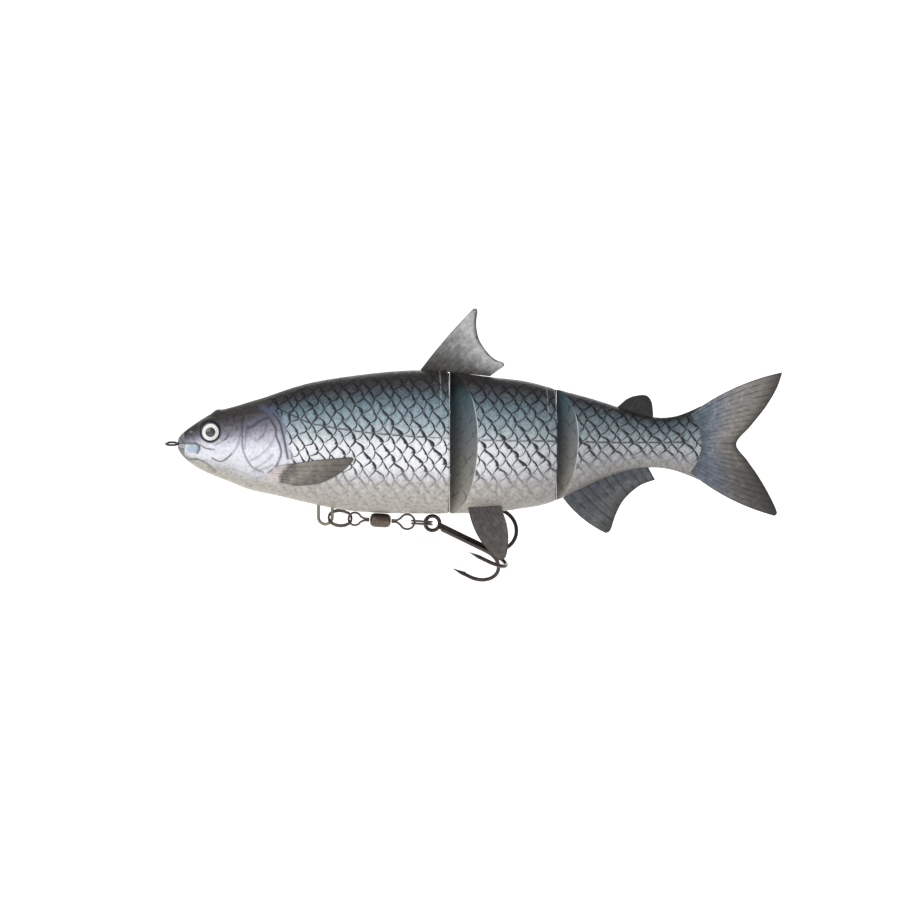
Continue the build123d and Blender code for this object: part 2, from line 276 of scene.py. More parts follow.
class Body:
    """The outline of the hard body, measured from the shells: an ellipse at every station."""

    def __init__(self):
        tree = shell_tree()
        self.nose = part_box("head_shell_left")[0][0] / MM
        at = np.concatenate([np.linspace(6.5, 112.5, 40), np.linspace(117, 157, 20),
                             np.linspace(161, 218.5, 26)])
        off = 1.5   # beside the seam between the half shells
        stations = []
        for x in at:
            top = tree.ray_cast(Vector((x, off, 60)), Vector((0, 0, -1)))[0]
            bottom = tree.ray_cast(Vector((x, off, -60)), Vector((0, 0, 1)))[0]
            middle = fullest_line(top.z, bottom.z)
            # beside the eye the width is read lower down, where the ellipse has not narrowed much
            lower = 0.6 if abs(x - EYE[0]) < EYE_R + 1.5 else 0.0
            level = middle - lower * (middle - bottom.z)
            side = tree.ray_cast(Vector((x, 40, level)), Vector((0, -1, 0)))[0]
            bevelled = 113 < x < 129 or 157.5 < x < 171   # where a joint's bevel has cut the flank
            stations.append((x, top.z, bottom.z, np.nan if bevelled else side.y / np.sqrt(1 - lower ** 2)))
        x, top, bottom, width = np.array(stations).T
        for low, high in ((95, 147), (137, 187)):   # the flank is bridged from both sides of a joint
            near = (x > low) & (x < high)
            known = near & ~np.isnan(width)
            bulge = np.polyval(np.polyfit(x[known] - low, width[known], 3), x - low)
            width = np.where(near & np.isnan(width), bulge, width)
        squeeze = np.sqrt(1 - np.minimum(off / width, 0.9) ** 2)
        centre = fullest_line(top, bottom)
        self.x = x
        self.top = centre + (top - centre) / squeeze
        self.bottom = centre + (bottom - centre) / squeeze
        self.width = width

    def profile(self, x, values):
        """A measured outline at x, rounded off ahead of the first station."""
        inside = np.interp(x, self.x, values)
        ahead = np.clip((x - self.nose) / (self.x[0] - self.nose), 0, 1)
        return np.where(x < self.x[0], values[0] * ahead ** NOSE_BLUNTNESS, inside)

    def outline(self, x):
        """The top, bottom and half width at x."""
        return self.profile(x, self.top), self.profile(x, self.bottom), self.profile(x, self.width)

    def ring(self, x, angle):
        """The skin point at x and angle; 0 is the right side and a quarter turn is the back."""
        top, bottom, width = self.outline(x)
        centre = fullest_line(top, bottom)
        up = np.sin(angle)
        height = np.where(up > 0, top - centre, centre - bottom)
        return width * np.cos(angle), centre + height * up

    def side_y(self, x, z):
        """Half the body's thickness at a place seen from the side."""
        top, bottom, width = self.outline(x)
        centre = fullest_line(top, bottom)
        half = np.where(z > centre, top - centre, centre - bottom)
        return width * np.sqrt(np.clip(1 - ((z - centre) / half) ** 2, 0, 1))


# ---- shapes drawn on the skin ----
def smooth(value, low, high):
    """A smooth step from 0 at low to 1 at high."""
    t = np.clip((value - low) / (high - low), 0, 1)
    return t * t * (3 - 2 * t)


def curve_points(points, count=60):
    """A smooth curve through a few points (Catmull-Rom)."""
    p = np.array([points[0], *points, points[-1]], float)
    out = []
    for i in range(1, len(p) - 2):
        for t in np.linspace(0, 1, max(4, count // (len(points) - 1)), endpoint=False):
            a = 2 * p[i]
            b = p[i + 1] - p[i - 1]
            c = 2 * p[i - 1] - 5 * p[i] + 4 * p[i + 1] - p[i + 2]
            d = -p[i - 1] + 3 * p[i] - 3 * p[i + 1] + p[i + 2]
            out.append(0.5 * (a + b * t + c * t * t + d * t ** 3))
    out.append(p[-2])
    return np.array(out)


def distance(x, z, points):
    """Distance from many places to one smooth curve."""
    line = curve_points(points)
    best = np.full(x.shape, 1e9)
    for a, b in zip(line[:-1], line[1:]):
        d = b - a
        t = np.clip(((x - a[0]) * d[0] + (z - a[1]) * d[1]) / (d @ d + 1e-12), 0, 1)
        best = np.minimum(best, np.hypot(x - a[0] - t * d[0], z - a[1] - t * d[1]))
    return best


def line_x(z, points):
    """Where a curve that runs from high to low lies, at height z."""
    line = curve_points(points)
    order = np.argsort(line[:, 1])
    return np.interp(z, line[order, 1], line[order, 0])


# The lines of the head and flank, as (x, z) points seen from the side.
GILL_EDGE = [(38.6, 13.2), (40.8, 9.8), (43.4, 6.1), (43.6, 3.1), (45.2, -0.7), (45.6, -4.3), (43.4, -8.8),
             (40.4, -11.2), (34.1, -13.6), (27.5, -14.2)]
GILL_MARGIN = [(38.2, 14.6), (42.2, 12.2), (44.8, 9.0), (46.3, 4.5), (47.4, -0.7), (48.4, -5.9),
               (46.0, -11.5), (41.0, -15.2)]
PREOPERCLE = [(29.3, 9.8), (29.5, 4.0), (29.7, -1.0), (30.9, -4.8), (33.8, -9.2), (38.0, -11.0)]
GILL_LINES = [
    [(31.4, 7.5), (31.0, 3.0), (30.7, -2.1)],
    [(43.0, 2.4), (41.6, -0.2), (39.3, -2.6), (36.4, -4.8), (33.1, -6.5)],
    [(42.3, -4.3), (39.2, -7.0), (34.9, -9.5)],
    [(42.3, -8.0), (38.6, -9.6), (34.1, -10.6)],
    [(39.8, 7.6), (38.6, 3.4), (35.4, 1.2)],
]
OPERCLE_TOP = [(31.6, 6.0), (33.8, 6.9), (36.0, 8.2), (38.4, 9.4), (40.4, 9.9)]
CHEEK_LINES = [
    [(18.4, -0.6), (20.9, 0.9), (23.1, 2.4), (24.3, 5.3)],
    [(17.0, -5.9), (20.9, -7.3), (25.2, -4.2), (27.9, 0.1), (28.9, 4.5)],
    [(12.0, -0.4), (14.5, -1.9), (18.0, -2.4)],
]
MOUTH = [(2.6, 0.3), (5.8, 0.3), (8.2, 0.2), (10.6, 0.0), (11.7, -1.7), (10.9, -3.7)]
JAW = [(4.2, -4.6), (7.2, -6.2), (10.9, -6.4), (14.2, -7.8), (18.4, -11.4)]
NOSTRIL = (8.1, 4.9)
LATERAL = [(45.9, 13.6), (52.5, 10.5), (57.4, 8.4), (63.6, 7.1), (77.7, 4.9), (87.2, 3.9), (99.2, 2.9),
           (112.0, 2.2), (130.0, 1.3), (155.0, 1.0), (180.0, 0.5), (211.0, 0.5)]
SCALE_END = [(214.5, 12.6), (217.8, 8.2), (220.0, 1.4), (219.4, -6.7), (215.5, -11.8)]


def groove(x, z, line, width):
    """1 on a line, falling away to each side of it."""
    return np.exp(-(distance(x, z, line) / width) ** 2)


def nostril_reach(x, z):
    return np.hypot((x - NOSTRIL[0]) / 1.1, (z - NOSTRIL[1]) / 0.75)


def head_relief(x, z):
    """Raised gill plates and pressed-in creases of the head, in millimetres."""
    plate = smooth(line_x(z, GILL_EDGE) - x, -0.35, 0.5) * smooth(z, -15.5, -13.0) * smooth(15.5 - z, 0, 2)
    plate = plate * smooth(x, 24, 31)
    margin = smooth(line_x(z, GILL_MARGIN) - x, -0.4, 0.4) * smooth(x, 30, 38) * smooth(z, -17, -13)
    low_down = 1 - smooth(z, 10.5, 14.0)
    rise = (0.6 * plate + 0.35 * margin) * low_down
    creases = [(PREOPERCLE, 0.45, 0.55), (OPERCLE_TOP, 0.3, 0.6), (MOUTH, 0.65, 0.42), (JAW, 0.3, 0.5)]
    creases += [(line, 0.2, 0.5) for line in GILL_LINES] + [(line, 0.28, 0.55) for line in CHEEK_LINES]
    for line, depth, width in creases:
        rise -= depth * groove(x, z, line, width)
    nostril = nostril_reach(x, z)
    rise += 0.35 * np.exp(-(nostril - 1.25) ** 2 / 0.12) - 0.5 * np.exp(-(nostril / 0.8) ** 2)
    eye = np.hypot(x - EYE[0], z - EYE[1])
    rise += 0.55 * np.exp(-((eye - EYE_R - 0.9) / 0.75) ** 2)
    brow = np.hypot((x - 18.6) / 2.2, (z - 12.9) / 1.3)
    rise += 0.9 * np.exp(-brow ** 2)
    return rise


def scale_places(body, x, y, z):
    """Where each point lies on the lattice of scales: along the body and around it."""
    top, bottom, width = body.outline(x)
    shrink = 0.62 + 0.38 * np.clip((top - bottom) / 57, 0, 1)   # the rows draw closer as the body slims
    lateral = curve_points(LATERAL)
    start = np.interp(x, lateral[:, 0], lateral[:, 1])
    around = np.sign(z - start) * np.hypot(z - start, np.clip(width - np.abs(y), 0, None) * 0.8)
    sway = 0.10 * np.sin(x * 0.61 + z * 0.37) + 0.07 * np.sin(x * 0.27 - z * 0.83 + 1.3)
    return x / SCALE_LENGTH + sway, around / (SCALE_WIDTH * shrink) + 0.06 * np.sin(x * 0.43 + z * 0.19)


def scale_relief(along, around, mask):
    """Every scale is raised at its free edge and sinks towards its root."""
    across = np.mod(around + SCALE_ROWS_BELOW, 1)
    row = np.floor(around + SCALE_ROWS_BELOW)
    base = along + 0.5 * np.mod(row, 2)
    near = 1 - np.mod(base + SCALE_BULGE * across ** 2, 1)
    far = 1 - np.mod(base + SCALE_BULGE * (1 - across) ** 2 + 0.5, 1)
    inside = np.minimum(near, far)
    return 0.2 * mask * np.clip(1 - 1.5 * inside, 0, 1) * smooth(inside, 0.0, 0.06)


def skin_paint(body, x, y, z):
    """Every per-point value that the paint needs."""
    top, bottom, _ = body.outline(x)
    lateral = distance(x, z, LATERAL)
    along, around = scale_places(body, x, y, z)
    rise = np.clip((z - bottom) / np.maximum(top - bottom, 0.1), 0, 1)
    scales = smooth(x - line_x(z, GILL_MARGIN), 0.2, 2.5) * smooth(line_x(z, SCALE_END) - x, 0.0, 1.6)
    scales *= smooth(rise, 0.03, 0.16) * (1 - 0.75 * smooth(rise, 0.9, 1.0))
    head = 1 - smooth(x - np.where(z > -14, line_x(z, GILL_MARGIN), 44), -1.0, 2.5)
    # dark head lines: ink, partly painted shade in the creases, round the eye and in the nostril pit
    ink_and_crease_shade = np.zeros_like(x)
    strokes = [(MOUTH, 0.42, 0.9), (PREOPERCLE, 0.3, 0.75), (OPERCLE_TOP, 0.6, 0.8),
               (GILL_EDGE[1:8], 0.42, 0.9), (GILL_MARGIN[1:6], 0.45, 0.95), (JAW, 0.3, 0.3)]
    strokes += [(line, 0.4, 0.42) for line in GILL_LINES + CHEEK_LINES]
    for line, size, strength in strokes:
        ink_and_crease_shade = np.maximum(ink_and_crease_shade, strength * groove(x, z, line, size))
    ink_and_crease_shade = np.maximum(ink_and_crease_shade, 0.95 * (1 - smooth(nostril_reach(x, z), 0.6, 1.05)))
    eye = np.hypot(x - EYE[0], z - EYE[1])
    ink_and_crease_shade = np.maximum(ink_and_crease_shade, 0.85 * (1 - smooth(eye, EYE_R + 0.1, EYE_R + 0.8)))
    violet = groove(x, z, GILL_MARGIN, 1.6) * smooth(z, -9, -2)
    violet = np.maximum(violet, 0.8 * groove(x, z, OPERCLE_TOP, 1.8))
    lips = (1 - smooth(np.hypot((x - 9.0) / 3.6, (z + 2.0) / 2.2), 0.5, 1.1)) * 0.9
    pink = 1 - smooth(np.hypot((x - 43.0) / 4.6, (z + 13.0) / 4.0), 0.5, 1.1)
    return {
        "rise": rise, "along": along, "around": around, "scales": scales, "lateral": lateral,
        "head": head, "ink_and_crease_shade": ink_and_crease_shade, "violet": violet, "lips": lips, "pink": pink, "station": x,
    }


# ---- meshes ----
def mesh_object(name, points, faces, values=None, material=None):
    """A smooth mesh in metres from points in millimetres, with named per-point values."""
    mesh = bpy.data.meshes.new(name)
    mesh.from_pydata((np.asarray(points) * MM).tolist(), [], faces)
    mesh.shade_smooth()
    for key, value in (values or {}).items():
        layer = mesh.attributes.new(key, "FLOAT", "POINT")
        layer.data.foreach_set("value", np.asarray(value, np.float32))
    if material:
        mesh.materials.append(material)
    thing = put(name, mesh)
    return thing


def grid_faces(rows, columns, wrap):
    """Quads of a grid of points stored row by row; wrap joins the last column to the first."""
    faces = []
    last = columns if wrap else columns - 1
    for r in range(rows - 1):
        for c in range(last):
            d = (c + 1) % columns
            faces.append((r * columns + c, r * columns + d, (r + 1) * columns + d, (r + 1) * columns + c))
    return faces


def skin(body, name, material, start, end, bevel_apex=None, lip=True):
    """The painted skin of one section: a tube of fine quads that rolls in at both ends.

    bevel_apex is where the bevel of the joint ahead begins; the head has none. lip carries the
    rear rim a little way over the joint behind."""
    rows = int((end - start) / SKIN_STEP) + 1
    angle = np.linspace(0, 2 * pi, SKIN_AROUND, endpoint=False)
    first = np.full(SKIN_AROUND, float(start))
    if bevel_apex is not None:
        for _ in range(6):   # settles on where the bevel meets the flank
            y, _z = body.ring(first, angle)
            first = bevel_apex + np.abs(y) * BEVEL
    last = np.full(SKIN_AROUND, float(end))
    if lip:
        # the rim reaches back over the joint as far as the next section leaves room
        y, _z = body.ring(last, angle)
        last = end + np.clip(0.07 * np.abs(y) - 0.03, 0, 0.74)
    share = np.linspace(0, 1, rows)[:, None]
    x = first * (1 - share) + last * share
    a = np.broadcast_to(angle, x.shape)
    y, z = body.ring(x, a)
    values = skin_paint(body, x.ravel(), y.ravel(), z.ravel())
    lift = SKIN + scale_relief(values["along"], values["around"], values["scales"]).reshape(x.shape)
    if bevel_apex is None:
        lift = lift + head_relief(x, z) * smooth(x, body.nose, body.nose + 1.5)
        opening = np.hypot(x - EYE[0], z - EYE[1])
        socket = 1.6 * smooth(EYE_R - opening, 0, 0.35)
        lift = np.where((opening < EYE_R) & (np.abs(y) > 3), lift - socket, lift)
        # a slit in the lips for the wire of the tow eye, which is turned a little about x
        roll = radians(14.0)
        slit = np.abs(z * cos(roll) - y * sin(roll))
        lift = lift - 1.5 * (1 - smooth(slit, 0.55, 1.0)) * (1 - smooth(x, 4.9, 5.5))
    # two rows at each end turn in, so that the skin has a rounded rim
    edge = np.minimum(np.arange(rows), np.arange(rows)[::-1])[:, None]
    lift = np.where(edge == 0, -0.9, np.where(edge == 1, lift * 0.55, lift))
    width = np.maximum(np.hypot(y, z), 0.3)
    out_y = y * (1 + lift / width)
    out_z = z * (1 + lift / width)
    points = np.stack([x, out_y, out_z], axis=-1).reshape(-1, 3)
    # distances from the two rims, where the paint carries painted highlights; 9 puts a rim with none out of
    # reach
    values["brink"] = (x - first + (9 if bevel_apex is None else 0)).ravel()
    values["hem"] = (last - x + (0 if lip else 9)).ravel()
    return mesh_object(name, points, grid_faces(rows, SKIN_AROUND, True), values, material)


# ---- materials ----
def scale_cells(g, along, around):
    """Overlapping scales, in the lattice of scale_relief.

    Gives the distance inside the nearest free edge, the distance from that scale's middle line,
    and 1 on the upper half of a scale."""
    around = g.plus(around, SCALE_ROWS_BELOW)
    across = g.math("FRACT", around)
    row = g.math("FLOOR", around)
    stagger = g.times(g.math("MODULO", row, 2.0), 0.5)
    near = g.times(g.times(across, across), SCALE_BULGE)
    back = g.math("SUBTRACT", 1.0, across)
    far = g.times(g.times(back, back), SCALE_BULGE)
    base = g.plus(along, stagger)
    inside_near = g.math("SUBTRACT", 1.0, g.math("FRACT", g.plus(base, near)))
    inside_far = g.math("SUBTRACT", 1.0, g.math("FRACT", g.plus(g.plus(base, far), 0.5)))
    upper = g.math("LESS_THAN", inside_near, inside_far)
    inside = g.math("MINIMUM", inside_near, inside_far)
    lower = g.math("SUBTRACT", 1.0, upper)
    offset = g.plus(g.times(upper, across), g.times(lower, back))
    return inside, offset, upper


# Colour from belly (0) to back (1), as (height, screen colour): paint, where the darker greys towards the
# belly are partly painted shade from the light above.
BODY_STOPS = [
    (0, (140, 134, 125)), (0.1, (148, 143, 136)), (0.2, (158, 155, 152)), (0.27, (184, 183, 186)),
    (0.34, (208, 209, 214)), (0.49, (205, 208, 213)), (0.56, (160, 170, 175)), (0.63, (128, 143, 150)),
    (0.71, (104, 122, 132)), (0.78, (80, 99, 107)), (0.84, (60, 71, 78)), (0.9, (44, 45, 48)),
    (0.96, (34, 31, 29)), (1, (44, 42, 38)),
]
TAIL_STOPS = [
    (0, (112, 109, 105)), (0.12, (120, 118, 116)), (0.25, (128, 129, 132)), (0.4, (138, 142, 146)),
    (0.52, (120, 130, 134)), (0.65, (94, 107, 112)), (0.78, (72, 85, 91)), (0.88, (54, 62, 66)),
    (0.95, (32, 33, 35)), (1, (34, 34, 34)),
]
HEAD_STOPS = [
    (0, (146, 140, 128)), (0.12, (152, 149, 142)), (0.2, (174, 174, 180)), (0.28, (200, 201, 208)),
    (0.46, (206, 207, 216)), (0.55, (176, 176, 188)), (0.62, (126, 124, 138)), (0.7, (88, 85, 96)),
    (0.78, (64, 62, 66)), (0.88, (48, 46, 46)), (1, (50, 47, 42)),
]
BEVEL_STOPS = [
    (0, (150, 145, 136)), (0.2, (134, 132, 125)), (0.38, (122, 122, 118)), (0.55, (108, 112, 114)),
    (0.7, (92, 104, 108)), (0.84, (68, 86, 92)), (0.93, (44, 48, 52)), (1, (36, 35, 34)),
]


def paint_material():
    """The painted and lacquered skin: a dark back, a pale side, dark scale edges and head lines that are ink
    with painted shade in their grooves, and painted highlights along the joints.
    """
    g = Graph("painted_shell")
    rise = g.attribute("rise")
    along = g.attribute("along")
    scales = g.attribute("scales")
    mottle = g.noise(0.32, 5.0, 0.65)
    foil = g.noise(0.75, 6.0, 0.7)
    wobble = g.plus(rise, g.times(g.math("SUBTRACT", mottle, 0.5), 0.09))
    tail = g.remap(g.attribute("station"), 112.0, 176.0)
    colour = g.mix(tail, g.ramp(wobble, BODY_STOPS), g.ramp(wobble, TAIL_STOPS))
    colour = g.mix(g.attribute("head"), colour, g.ramp(wobble, HEAD_STOPS))
    # crinkled foil under the clear coat, as patches of light and shade
    colour = g.mix(g.times(g.remap(foil, 0.42, 0.62), 0.3), colour, (255, 255, 255), "SOFT_LIGHT")
    colour = g.mix(g.times(g.remap(foil, 0.52, 0.36), 0.34), colour, (0, 0, 0), "SOFT_LIGHT")
    # scale edges inked dark, partly as painted shadow in the grooves between scales; heavier on the upper
    # half of each scale as painted shade from the light above; with painted light and shade inside the
    # scales
    inside, offset, upper = scale_cells(g, along, g.attribute("around"))
    uneven = g.remap(g.noise(0.4, 3.0), 0.3, 0.7, 0.7, 1.2)
    middle = g.remap(offset, 0.5, 1.0, 1.0, 0.35)
    # the wider dark edge on the upper half of each scale is painted shade
    upper_shadow_width = g.remap(upper, 0.0, 1.0, 0.1, 0.23)
    width = g.times(g.times(middle, uneven), upper_shadow_width)
    lack = g.math("DIVIDE", inside, g.plus(width, 0.036))
    edge = g.times(g.remap(lack, 0.62, 1.15, 1.0, 0.0), scales)
    glow = g.times(g.remap(inside, 0.2, 0.5, 0.0, 1.0), scales)
    shade = g.times(g.remap(inside, 0.55, 0.95, 0.0, 1.0), scales)
    colour = g.mix(g.times(glow, 0.25), colour, (255, 255, 255), "SOFT_LIGHT")
    colour = g.mix(g.times(shade, 0.5), colour, (0, 0, 0), "SOFT_LIGHT")
    strength = g.remap(rise, 0.14, 0.34, 0.05, 1.0)
    # the dark scale edges: ink and painted shadow together
    colour = g.mix(g.times(edge, strength), colour, (8, 9, 11))
    # the dashed lateral line, the head's tints, and its dark lines: ink, partly painted shade in the
    # creases, round the eye and in the nostril
    dash = g.remap(g.math("FRACT", along), 0.1, 0.25, 0.3, 1.0)
    dashes = g.times(g.remap(g.attribute("lateral"), 0.2, 0.5, 1.0, 0.0), dash)
    colour = g.mix(g.times(g.times(dashes, scales), 0.85), colour, (34, 36, 38))
    for name, share, tint in (("violet", 0.36, (96, 104, 140)), ("lips", 0.8, (136, 158, 180)),
                              ("pink", 0.5, (196, 184, 184)), ("ink_and_crease_shade", 1.0, (28, 26, 30))):
        colour = g.mix(g.times(g.attribute(name), share), colour, tint)
    # painted highlights: a light line along the front rim of a joint, where the bevel meets the flank, and
    # pale lines on the dark back along the rear rim and a crease ahead of it, on the crinkled skin
    high = g.remap(rise, 0.66, 0.76)
    brink = g.times(g.remap(g.attribute("brink"), 0.3, 0.75, 1.0, 0.0), g.remap(rise, 0.1, 0.3))
    brink = g.times(brink, g.remap(rise, 0.9, 0.72))
    colour = g.mix(g.times(brink, 0.75), colour, (214, 218, 220))
    hem = g.attribute("hem")
    crease = g.remap(g.math("ABSOLUTE", g.math("SUBTRACT", hem, 3.6)), 0.12, 0.4, 1.0, 0.0)
    rim = g.math("MAXIMUM", g.remap(hem, 0.15, 0.55, 1.0, 0.0), g.times(crease, 0.35))
    rim = g.times(g.times(rim, high), g.remap(g.noise(0.7, 3.0), 0.36, 0.52))
    colour = g.mix(g.times(rim, 0.7), colour, (188, 194, 198))
    # fine relief, and a back with little gloss
    height = g.math("SUBTRACT", 1.0, g.times(inside, 1.5))
    height = g.times(g.math("MAXIMUM", height, 0.0), scales)
    normal = g.bump(height, 0.32)
    normal = g.bump(foil, 0.3, normal)
    rough = g.remap(g.noise(0.9), 0.3, 0.7, 0.3, 0.46)
    g.link(g.remap(rise, 0.62, 0.86, 0.28, 0.04), g.shader.inputs["Coat Weight"])
    g.link(g.remap(rise, 0.66, 0.88, 0.4, 0.1), g.shader.inputs["Specular IOR Level"])
    return g.finish(colour, rough, normal, Coat_Roughness=0.14)


def hard_material():
    """The bevelled faces inside the joints: painted dark above and grey below, with faint scales."""
    g = Graph("joint_faces")
    place = g.nodes.new("ShaderNodeTexCoord")
    split = g.nodes.new("ShaderNodeSeparateXYZ")
    g.link(place.outputs["Object"], split.inputs[0])
    body_height = 56 * MM
    level = g.plus(g.times(split.outputs["Z"], 1 / body_height), 0.5)
    level = g.plus(level, g.times(g.math("SUBTRACT", g.noise(0.25, 5.0, 0.6), 0.5), 0.16))
    colour = g.ramp(level, BEVEL_STOPS)
    along = g.times(split.outputs["X"], 1 / (SCALE_LENGTH * MM))
    around = g.times(split.outputs["Z"], 1 / (SCALE_WIDTH * MM))
    inside, _, _ = scale_cells(g, along, around)
    faint = g.times(g.remap(inside, 0.06, 0.2, 1.0, 0.0), g.remap(g.noise(0.3, 3.0), 0.42, 0.62))
    colour = g.mix(g.times(faint, 0.5), colour, (28, 28, 30))
    worn = g.remap(g.noise(0.6, 6.0, 0.7), 0.5, 0.7, 0.0, 0.3)
    colour = g.mix(worn, colour, (255, 255, 255), "SOFT_LIGHT")
    normal = g.bump(g.noise(0.9, 5.0, 0.6), 0.12)
    return g.finish(colour, g.remap(g.noise(0.8), 0.3, 0.7, 0.36, 0.5), normal, Specular_IOR_Level=0.2)


def metal_material(name, colour, rough):
    """Plated or bare steel with slight stains."""
    g = Graph(name)
    tint = g.mix(g.remap(g.noise(2.5, 4.0), 0.35, 0.7), colour, tuple(min(255, c * 1.25) for c in colour))
    normal = g.bump(g.noise(6.0, 3.0), 0.012)
    return g.finish(tint, g.remap(g.noise(3.0), 0.3, 0.7, rough * 0.8, rough * 1.3), normal, Metallic=1.0)


def fin_material(name, stops, rays, rim_dark, margin=0.5, lower=None):
    """Soft moulded fins: rays along the fin, a dark edge, and a colour ramp from root to tip.

    rays and rim_dark are how strongly they show, margin the edge's width in millimetres, and
    lower a second ramp for the far side of the fan."""
    g = Graph(name)
    reach = g.attribute("reach")
    wave = g.attribute("wave")
    streak = g.noise(0.4, 6.0, 0.7)
    place = g.plus(reach, g.times(g.math("SUBTRACT", streak, 0.5), 0.3))
    colour = g.ramp(place, stops)
    if lower:
        colour = g.mix(g.remap(g.attribute("fan"), 0.35, 0.85), colour, g.ramp(place, lower))
    colour = g.mix(g.remap(streak, 0.4, 0.62, 0.3, 0.0), colour, (0, 0, 0), "SOFT_LIGHT")
    colour = g.mix(g.remap(streak, 0.5, 0.7, 0.0, 0.3), colour, (255, 255, 255), "SOFT_LIGHT")
    lines = g.times(g.remap(wave, 0.72, 0.97, 0.0, 1.0), g.remap(g.noise(0.3, 3.0), 0.34, 0.56))
    colour = g.mix(g.times(lines, rays), colour, (30, 29, 28))
    rim = g.remap(g.attribute("rim"), 0.0, margin, 1.0, 0.0)
    colour = g.mix(g.times(rim, rim_dark), colour, (26, 25, 24))
    normal = g.bump(g.noise(0.9, 6.0, 0.65), 0.18)
    rough = g.remap(streak, 0.3, 0.7, 0.42, 0.6)
    return g.finish(colour, rough, normal, Specular_IOR_Level=0.25)


def eye_material():
    """A dark pupil with a painted highlight in its middle, a white ring with a fine grey line in it, and a
    black rim, under a clear dome.
    """
    g = Graph("moulded_eye")
    # the lighter middle of the pupil is a painted highlight
    colour = g.ramp(g.attribute("radius"), [
        (0.0, (58, 56, 60)), (0.24, (34, 33, 36)), (0.48, (30, 29, 30)), (0.52, (206, 206, 206)),
        (0.62, (232, 232, 232)), (0.655, (150, 150, 150)), (0.69, (226, 226, 226)),
        (0.80, (214, 214, 216)), (0.85, (60, 58, 60)), (1.0, (22, 21, 22)),
    ])
    return g.finish(colour, 0.25, g.bump(g.noise(2.0), 0.01), Coat_Weight=1.0, Coat_Roughness=0.02, IOR=1.5)


# ---- fins ----
def fin(name, material, root, margin, rays, thick, place, bow=0.0, end_bow=0.0, columns=110, rows=70):
    """A fin fanned between a root curve and a margin curve, both drawn as (x, z) points.

    rays is their number, and thick the thickness at the root and at the margin. bow and end_bow
    bend the first and the last edge. place turns flat points and half thickness into space."""
    base = curve_points(root, 120)
    rim = curve_points(margin, 160)
    u = np.linspace(0, 1, columns)

    def along(line):
        steps = np.concatenate([[0], np.cumsum(np.hypot(*np.diff(line, axis=0).T))])
        at = u * steps[-1]
        return np.stack([np.interp(at, steps, line[:, i]) for i in (0, 1)], axis=1)

    low, high = along(base), along(rim)
    v = np.linspace(0, 1, rows)[:, None, None]
    flat = low * (1 - v) + high * v
    for edge, share, swell in ((0, (1 - u) ** 3, bow), (-1, u ** 3, end_bow)):
        lead = high[edge] - low[edge]
        normal = np.array([-lead[1], lead[0]]) / np.hypot(*lead)
        flat = flat + swell * normal * share[None, :, None] * (4 * v * (1 - v))
    wave = 0.5 + 0.5 * np.cos(2 * pi * rays * u)[None, :] * np.ones((rows, 1))
    v = v[:, :, 0]
    length = np.hypot(*(high - low).T)[None, :]
    from_rim = np.minimum(np.minimum(u, 1 - u)[None, :] * np.hypot(*(high[0] - high[-1])), (1 - v) * length)
    body = thick[0] * (1 - v) + thick[1] * v
    half = body / 2 * (0.25 + 0.75 * smooth(from_rim, 0, 0.7)) * (0.82 + 0.18 * (1 - wave))
    front = place(flat.reshape(-1, 2), half.ravel())
    rear = place(flat.reshape(-1, 2), -half.ravel())
    count = rows * columns
    faces = grid_faces(rows, columns, False)
    back = [tuple(count + i for i in reversed(f)) for f in faces]
    ring = list(range(columns)) + [r * columns + columns - 1 for r in range(1, rows)]
    ring += [(rows - 1) * columns + c for c in range(columns - 2, -1, -1)]
    ring += [r * columns for r in range(rows - 2, 0, -1)]
    sides = [(ring[i], ring[i - 1], count + ring[i - 1], count + ring[i]) for i in range(len(ring))]
    grow = np.ones((rows, columns))
    values = {
        "reach": np.tile((v * grow).ravel(), 2), "wave": np.tile(wave.ravel(), 2),
        "rim": np.tile(from_rim.ravel(), 2), "fan": np.tile((u[None, :] * grow).ravel(), 2),
    }
    thing = mesh_object(name, np.vstack([front, rear]), faces + back + sides, values, material)
    fix_normals(thing)
    return thing


def fix_normals(thing):
    """Turns every face of a closed piece outwards."""
    work = bmesh.new()
    work.from_mesh(thing.data)
    bmesh.ops.recalc_face_normals(work, faces=work.faces)
    work.to_mesh(thing.data)
    work.free()


def upright(flat, half):
    """Places a fin on the centre plane."""
    return np.stack([flat[:, 0], -half, flat[:, 1]], axis=1)


